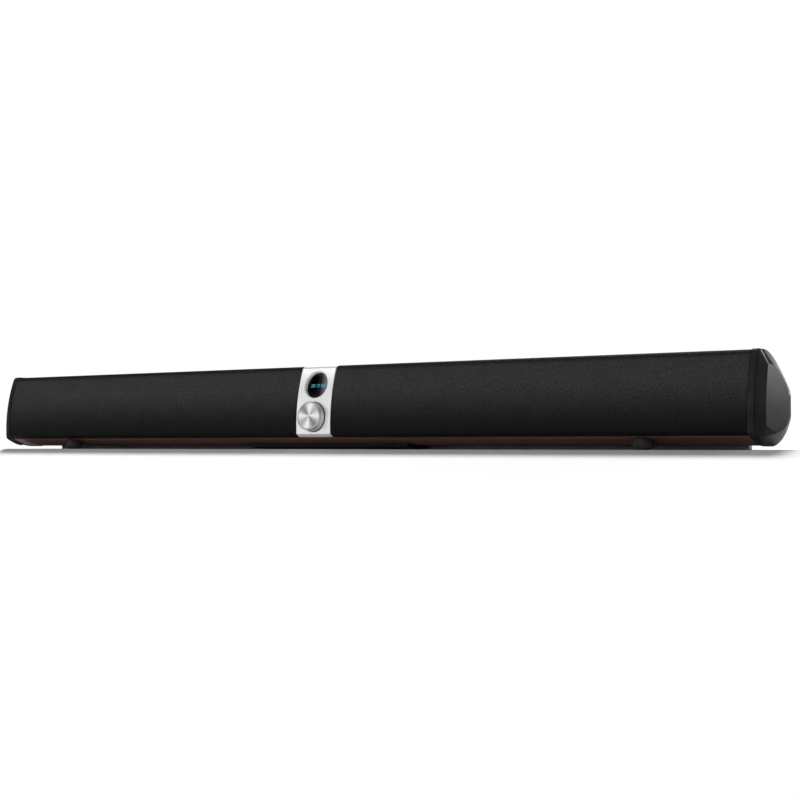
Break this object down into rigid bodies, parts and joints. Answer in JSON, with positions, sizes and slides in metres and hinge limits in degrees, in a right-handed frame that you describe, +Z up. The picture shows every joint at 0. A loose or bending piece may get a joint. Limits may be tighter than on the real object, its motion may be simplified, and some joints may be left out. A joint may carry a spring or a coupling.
{
  "type": "soundbar",
  "caption": "Long low powered loudspeaker bar with a curved cloth front, central control panel with a display and rotary knob, faceted end caps and rubber feet.",
  "frame": {"origin": "on the shelf under the feet, at the middle of the bounding box in plan", "axes": "+X along the bar towards the right end seen from the front, the front faces -Y, +Z up"},
  "size_m": [1.08, 0.1214, 0.0996],
  "materials": {
    "amp_board": "circuit board",
    "aux_socket": "black",
    "bottom_cover": "matte black",
    "cabinet_shell": "satin dark walnut veneer",
    "coax_socket": "plated",
    "control_board": "circuit board",
    "control_carrier": "matte black",
    "control_panel": "satin silver white lacquer",
    "cover_screw_left": "black zinc",
    "cover_screw_right": "black zinc",
    "display_bezel": "bright",
    "display_lens": "polished smoked black",
    "display_module": "circuit board",
    "encoder_body": "zinc plated",
    "encoder_nut": "zinc plated",
    "encoder_plunger": "black",
    "encoder_shaft": "bright",
    "end_cap_left": "smooth black",
    "end_cap_right": "smooth black",
    "end_collar_left": "satin black",
    "end_collar_right": "satin black",
    "foot_front_left": "soft black",
    "foot_front_right": "soft black",
    "front_baffle": "raw fibreboard",
    "grille_cloth_left": "black woven speaker cloth",
    "grille_cloth_right": "black woven speaker cloth",
    "grille_frame_left": "matte black",
    "grille_frame_right": "matte black",
    "heat_sink": "anodised",
    "input_board": "circuit board",
    "knob_face": "spun",
    "mains_inlet": "black",
    "optical_socket": "black",
    "partition_left": "raw fibreboard",
    "partition_right": "raw fibreboard",
    "power_board": "circuit board",
    "power_rocker": "smooth black",
    "power_switch_frame": "black",
    "rear_foot_rail": "firm dark grey",
    "sub_out_socket": "plated",
    "terminal_tray": "matte black",
    "transformer": "varnished laminations",
    "tray_screw_left": "black zinc",
    "tray_screw_right": "black zinc",
    "tweeter_dome_left": "coated silk",
    "tweeter_dome_right": "coated silk",
    "tweeter_frame_left": "black",
    "tweeter_frame_right": "black",
    "volume_knob": "satin grey",
    "wall_plate_left": "zinc plated",
    "wall_plate_right": "zinc plated",
    "woofer_cone_1": "coated paper and rubber",
    "woofer_cone_2": "coated paper and rubber",
    "woofer_cone_3": "coated paper and rubber",
    "woofer_cone_4": "coated paper and rubber",
    "woofer_frame_1": "black painted basket and magnet",
    "woofer_frame_2": "black painted basket and magnet",
    "woofer_frame_3": "black painted basket and magnet",
    "woofer_frame_4": "black painted basket and magnet"
  },
  "bodies": {
    "soundbar": {"amp_board": "amp_board", "aux_socket": "aux_socket", "bottom_cover": "bottom_cover", "cabinet_shell": "cabinet_shell", "coax_socket": "coax_socket", "control_board": "control_board", "control_carrier": "control_carrier", "control_panel": "control_panel", "cover_screw_left": "cover_screw_left", "cover_screw_right": "cover_screw_right", "display_bezel": "display_bezel", "display_lens": "display_lens", "display_module": "display_module", "encoder_body": "encoder_body", "encoder_nut": "encoder_nut", "end_cap_left": "end_cap_left", "end_cap_right": "end_cap_right", "end_collar_left": "end_collar_left", "end_collar_right": "end_collar_right", "foot_front_left": "foot_front_left", "foot_front_right": "foot_front_right", "front_baffle": "front_baffle", "grille_cloth_left": "grille_cloth_left", "grille_cloth_right": "grille_cloth_right", "grille_frame_left": "grille_frame_left", "grille_frame_right": "grille_frame_right", "heat_sink": "heat_sink", "input_board": "input_board", "mains_inlet": "mains_inlet", "optical_socket": "optical_socket", "partition_left": "partition_left", "partition_right": "partition_right", "power_board": "power_board", "power_switch_frame": "power_switch_frame", "rear_foot_rail": "rear_foot_rail", "sub_out_socket": "sub_out_socket", "terminal_tray": "terminal_tray", "transformer": "transformer", "tray_screw_left": "tray_screw_left", "tray_screw_right": "tray_screw_right", "tweeter_dome_left": "tweeter_dome_left", "tweeter_dome_right": "tweeter_dome_right", "tweeter_frame_left": "tweeter_frame_left", "tweeter_frame_right": "tweeter_frame_right", "wall_plate_left": "wall_plate_left", "wall_plate_right": "wall_plate_right", "woofer_cone_1": "woofer_cone_1", "woofer_cone_2": "woofer_cone_2", "woofer_cone_3": "woofer_cone_3", "woofer_cone_4": "woofer_cone_4", "woofer_frame_1": "woofer_frame_1", "woofer_frame_2": "woofer_frame_2", "woofer_frame_3": "woofer_frame_3", "woofer_frame_4": "woofer_frame_4"},
    "knob_plunger": {"encoder_plunger": "encoder_plunger"},
    "knob": {"encoder_shaft": "encoder_shaft", "knob_face": "knob_face", "volume_knob": "volume_knob"},
    "rocker": {"power_rocker": "power_rocker"}
  },
  "joints": [
    {"name": "knob_press", "type": "slide", "parent": "soundbar", "child": "knob_plunger", "axis": [0, 0.9895, -0.1444], "range_m": [0, 0.0007], "stiffness_N_per_m": 3000, "springref_m": -0.0004},
    {"name": "knob_turn", "type": "hinge", "parent": "knob_plunger", "child": "knob", "pos_m": [0, -0.04925, 0.0381], "axis": [0, -0.9895, 0.1444], "continuous": true},
    {"name": "power_rocker_tilt", "type": "hinge", "parent": "soundbar", "child": "rocker", "pos_m": [-0.027, 0.0458, 0.0455], "axis": [0, 0, 1], "range_deg": [-16, 0]}
  ]
}
